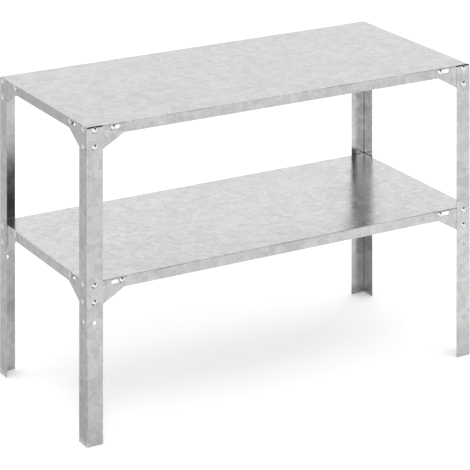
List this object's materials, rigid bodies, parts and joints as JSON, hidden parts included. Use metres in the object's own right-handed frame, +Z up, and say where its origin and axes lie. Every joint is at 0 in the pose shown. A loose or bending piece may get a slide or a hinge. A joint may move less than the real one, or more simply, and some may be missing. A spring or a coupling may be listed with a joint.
{
  "type": "two-tier work table",
  "caption": "Bolted two-tier potting and work table in galvanised sheet steel, with angle legs, folded shelf trays and slotted corner gusset plates.",
  "frame": {"origin": "on the floor, at the centre of the table's footprint", "axes": "+X along the length to the right, +Y across the depth towards the back, +Z up"},
  "size_m": [1.1072, 0.5072, 0.75],
  "materials": {
    "galvanised_tray": "hot-dip zinc with soft mottled spangle, satin",
    "galvanised_leg": "hot-dip zinc with soft mottled spangle, satin",
    "galvanised_gusset": "hot-dip zinc with soft mottled spangle, satin",
    "bolt_zinc": "bright zinc plate, glossy",
    "nut_zinc": "bright zinc plate, glossy"
  },
  "bodies": {
    "root": {"top_shelf": "galvanised_tray", "lower_shelf": "galvanised_tray", "leg_front_left": "galvanised_leg", "leg_front_right": "galvanised_leg", "leg_back_left": "galvanised_leg", "leg_back_right": "galvanised_leg", "top_gusset_front_left": "galvanised_gusset", "top_gusset_front_right": "galvanised_gusset", "top_gusset_back_left": "galvanised_gusset", "top_gusset_back_right": "galvanised_gusset", "top_gusset_left_front": "galvanised_gusset", "top_gusset_left_back": "galvanised_gusset", "top_gusset_right_front": "galvanised_gusset", "top_gusset_right_back": "galvanised_gusset", "lower_gusset_front_left": "galvanised_gusset", "lower_gusset_front_right": "galvanised_gusset", "lower_gusset_back_left": "galvanised_gusset", "lower_gusset_back_right": "galvanised_gusset", "lower_gusset_left_front": "galvanised_gusset", "lower_gusset_left_back": "galvanised_gusset", "lower_gusset_right_front": "galvanised_gusset", "lower_gusset_right_back": "galvanised_gusset", "top_bolts_front_left": "bolt_zinc", "top_bolts_front_right": "bolt_zinc", "top_bolts_back_left": "bolt_zinc", "top_bolts_back_right": "bolt_zinc", "lower_bolts_front_left": "bolt_zinc", "lower_bolts_front_right": "bolt_zinc", "lower_bolts_back_left": "bolt_zinc", "lower_bolts_back_right": "bolt_zinc", "top_nuts_front_left": "nut_zinc", "top_nuts_front_right": "nut_zinc", "top_nuts_back_left": "nut_zinc", "top_nuts_back_right": "nut_zinc", "lower_nuts_front_left": "nut_zinc", "lower_nuts_front_right": "nut_zinc", "lower_nuts_back_left": "nut_zinc", "lower_nuts_back_right": "nut_zinc"}
  },
  "joints": []
}
